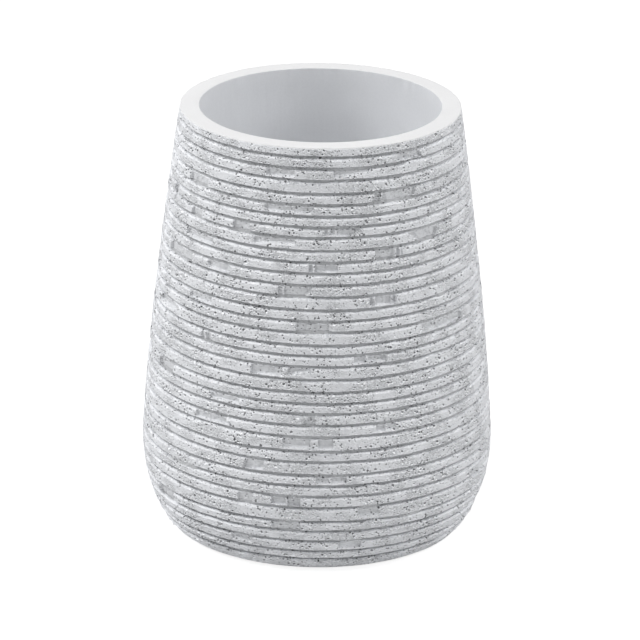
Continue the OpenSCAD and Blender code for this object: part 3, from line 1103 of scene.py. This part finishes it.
def disc_mesh(name, outline, columns=192):
    """A closed disc turned from an outline of radius and height."""
    angle = np.arange(columns) / columns * TAU
    rows = len(outline)
    points = [(r * math.cos(a), r * math.sin(a), z) for r, z in outline for a in angle]
    quads = [(row * columns + j, row * columns + (j + 1) % columns,
              (row + 1) * columns + (j + 1) % columns, (row + 1) * columns + j)
             for row in range(rows - 1) for j in range(columns)]
    faces = [tuple(reversed(range(columns)))] + quads
    faces += [tuple((rows - 1) * columns + j for j in range(columns))]
    mesh = bpy.data.meshes.new(name)
    mesh.from_pydata(points, [], faces)
    mesh.update()
    return mesh


# The pad's pressed lower edge, the waist of its wall, its softened upper edge, and shares of its
# radius at which the rows of its underside and its top lie
PAD_BEVEL, PAD_WAIST, PAD_EDGE = 0.2 * MM, 0.06 * MM, 0.1 * MM
PAD_SHARES, PAD_TOP_SHARES = (0.1, 0.25, 0.4, 0.55, 0.7, 0.85, 0.95), (0.9, 0.6, 0.3, 0.1)


def pad_outline():
    """Half section of the pad: a flat underside, pressed edges and a slightly drawn-in wall."""
    radius, thick = pad_high.x, pad_high.z
    inner = [(radius * share, 0.0) for share in PAD_SHARES]
    edge = [(radius - PAD_BEVEL, 0.0), (radius - 0.3 * PAD_BEVEL, 0.3 * PAD_BEVEL),
            (radius, PAD_BEVEL)]
    wall = [(radius - PAD_WAIST, thick * 0.5), (radius, thick - PAD_EDGE),
            (radius - PAD_EDGE, thick)]
    back = [(radius * share, thick) for share in PAD_TOP_SHARES]
    return inner + edge + wall + back


class TUMBLER_OT_base_pad(bpy.types.Operator):
    """Build the foam pad that the tumbler stands on"""

    bl_idname = "tumbler.base_pad"
    bl_label = "Base Pad"

    def execute(self, context):
        mesh = disc_mesh("foam_pad", pad_outline())
        mesh.materials.append(foam_material(context.scene.tumbler_finish, *shared_groups()))
        pad = add_piece("foam_pad", mesh, "base_pad")
        return {"FINISHED"}


class TUMBLER_OT_film(bpy.types.Operator):
    """Build the adhesive film between the pad and the casting"""

    bl_idname = "tumbler.film"
    bl_label = "Adhesive Film"

    def execute(self, context):
        shares = (0.1, 0.5, 0.9, 1.0)
        outline = [(film_high.x * share, film_low.z) for share in shares]
        outline += [(film_high.x * share, film_high.z) for share in reversed(shares)]
        mesh = disc_mesh("tape_film", outline)
        mesh.materials.append(film_material(context.scene.tumbler_finish, shared_groups()[0]))
        add_piece("tape_film", mesh, "pad_adhesive")
        return {"FINISHED"}


# Lamps: the direction that each shines from, as an angle from the front, positive to the
# right, and a height above the horizon, its size and its power. All are equally far away
Lamp = namedtuple("Lamp", "name turn rise size power")
LAMPS = (
    Lamp("high_left", -45, 50, 0.4, 2.2),
    Lamp("left_bank", -90, 38, 0.4, 4.25),
    Lamp("front_right", 45, 27, 0.5, 1.05),
    Lamp("right_bank", 90, 38, 0.4, 3.45),
    Lamp("high_back", 180, 62, 0.5, 0.9),
)
LAMP_DISTANCE = 1.0
AMBIENT, AMBIENT_COLOUR = 0.28, (0.97, 0.98, 1.0, 1)
WHITE = (1, 1, 1, 1)
SENSOR_MM = 36.0
NEAREST_SEEN, FARTHEST_SEEN = 0.05, 20.0


def add_camera(studio, shape):
    """The camera at the photograph's angle, a long way off, leaning slightly."""
    rise, lean = studio.elevation, studio.roll
    ahead = Vector((0, math.cos(rise), -math.sin(rise)))
    right = Vector((1, 0, 0))
    above = Vector((0, math.sin(rise), math.cos(rise)))
    middle = Vector((0, 0, shape.height / 2))
    place = middle - ahead * studio.distance + right * studio.aside + above * studio.raised
    data = bpy.data.cameras.new("camera")
    data.lens, data.sensor_width = studio.lens, SENSOR_MM
    data.clip_start, data.clip_end = NEAREST_SEEN, FARTHEST_SEEN
    camera = bpy.data.objects.new("camera", data)
    side = math.cos(lean) * right + math.sin(lean) * above
    top = math.cos(lean) * above - math.sin(lean) * right
    turn = Matrix((side, top, -ahead)).transposed()
    camera.matrix_world = Matrix.Translation(place) @ turn.to_4x4()
    bpy.context.scene.collection.objects.link(camera)
    bpy.context.scene.camera = camera


def add_lamps(shape):
    """Soft square lamps round the tumbler."""
    middle = Vector((0, 0, shape.height / 2))
    for lamp in LAMPS:
        data = bpy.data.lights.new(lamp.name, "AREA")
        data.energy, data.size = lamp.power, lamp.size
        light = bpy.data.objects.new(lamp.name, data)
        turn, rise = math.radians(lamp.turn), math.radians(lamp.rise)
        level = Vector((math.sin(turn), -math.cos(turn), 0))
        place = middle + LAMP_DISTANCE * (math.cos(rise) * level + Vector((0, 0, math.sin(rise))))
        light.matrix_world = Matrix.Translation(place) @ (
            (middle - place).to_track_quat("-Z", "Y").to_matrix().to_4x4())
        bpy.context.scene.collection.objects.link(light)


def emptied_tree(holder):
    """The node tree of a material or a world, with nothing in it."""
    holder.use_nodes = True
    holder.node_tree.nodes.clear()
    return holder.node_tree


def mixed(tree, factor, first, second):
    """The output of one Mix Shader node."""
    inputs = {0: factor, 1: first.outputs[0], 2: second.outputs[0]}
    return add_node(tree, "ShaderNodeMixShader", inputs)


def seen_directly(tree):
    """1 for rays from the camera, and for those seen in or through a surface."""
    path = add_node(tree, "ShaderNodeLightPath").outputs
    return greatest(tree, path["Is Camera Ray"], path["Is Glossy Ray"], path["Is Transmission Ray"])


def add_world():
    """A faint cool light from all round, seen by the camera as plain white."""
    world = bpy.data.worlds.new("studio")
    bpy.context.scene.world = world
    tree = emptied_tree(world)
    light = add_node(tree, "ShaderNodeBackground", {"Color": AMBIENT_COLOUR, "Strength": AMBIENT})
    white = add_node(tree, "ShaderNodeBackground", {"Color": WHITE, "Strength": 1.0})
    mix = mixed(tree, seen_directly(tree), light, white)
    add_node(tree, "ShaderNodeOutputWorld", {"Surface": mix.outputs[0]})


# The floor: how far it lies under the pad, how pale it is for light that bounces, and how pale
# it is seen directly, with the glow that lifts it to white
FLOOR_SIZE = 6.0
FLOOR_DROP = 0.02 * MM
FLOOR_BOUNCE = 0.95
FLOOR_SEEN, FLOOR_LIFT = 0.30, 0.86


def floor_material():
    """Pale and dull. Seen directly it is lifted to white, and keeps the tumbler's shadow. From
    below it isn't seen."""
    material = bpy.data.materials.new("pale_floor")
    tree = emptied_tree(material)
    bounce, seen = (add_node(tree, "ShaderNodeBsdfDiffuse", {"Color": (grey, grey, grey, 1)})
                    for grey in (FLOOR_BOUNCE, FLOOR_SEEN))
    lift = add_node(tree, "ShaderNodeEmission", {"Color": WHITE, "Strength": FLOOR_LIFT})
    lifted = add_node(tree, "ShaderNodeAddShader", {0: seen.outputs[0], 1: lift.outputs[0]})
    above = mixed(tree, seen_directly(tree), bounce, lifted)
    back = add_node(tree, "ShaderNodeNewGeometry").outputs["Backfacing"]
    sided = mixed(tree, back, above, add_node(tree, "ShaderNodeBsdfTransparent"))
    add_node(tree, "ShaderNodeOutputMaterial", {"Surface": sided.outputs[0]})
    return material


class TUMBLER_OT_studio(bpy.types.Operator):
    """Set up the floor, the lamps, the world and the camera"""

    bl_idname = "tumbler.studio"
    bl_label = "Studio"

    def execute(self, context):
        scene = context.scene
        scene.view_settings.view_transform = "Standard"
        half = FLOOR_SIZE / 2
        corners = ((-half, -half), (half, -half), (half, half), (-half, half))
        mesh = bpy.data.meshes.new("floor")
        mesh.from_pydata([(x, y, -FLOOR_DROP) for x, y in corners], [], [(0, 1, 2, 3)])
        mesh.materials.append(floor_material())
        floor = bpy.data.objects.new("floor", mesh)
        scene.collection.objects.link(floor)
        add_world()
        add_lamps(scene.tumbler_shape)
        add_camera(scene.tumbler_studio, scene.tumbler_shape)
        return {"FINISHED"}


class TUMBLER_PT_panel(bpy.types.Panel):
    """Lists the steps in the order that main() runs them"""

    bl_idname = "TUMBLER_PT_panel"
    bl_label = "Ridged Tumbler"
    bl_space_type = "VIEW_3D"
    bl_region_type = "UI"
    bl_category = "Tumbler"

    def draw(self, context):
        scene = context.scene
        for group in (scene.tumbler_shape, scene.tumbler_finish, scene.tumbler_studio):
            box = self.layout.box()
            for name in group.__annotations__:
                box.prop(group, name)
        for step in STEPS:
            self.layout.operator(step.bl_idname)


GROUPS = (TumblerShape, TumblerFinish, TumblerStudio)
STEPS = (TUMBLER_OT_casting, TUMBLER_OT_base_pad, TUMBLER_OT_film, TUMBLER_OT_studio)
CLASSES = (*GROUPS, *STEPS, TUMBLER_PT_panel)


def register():
    for cls in CLASSES:
        bpy.utils.register_class(cls)
    bpy.types.Scene.tumbler_shape = PointerProperty(type=TumblerShape)
    bpy.types.Scene.tumbler_finish = PointerProperty(type=TumblerFinish)
    bpy.types.Scene.tumbler_studio = PointerProperty(type=TumblerStudio)


def unregister():
    del bpy.types.Scene.tumbler_studio
    del bpy.types.Scene.tumbler_finish
    del bpy.types.Scene.tumbler_shape
    for cls in reversed(CLASSES):
        bpy.utils.unregister_class(cls)


def main():
    register()
    bpy.ops.tumbler.casting()
    bpy.ops.tumbler.base_pad()
    bpy.ops.tumbler.film()
    bpy.ops.tumbler.studio()


if __name__ == "__main__":
    main()
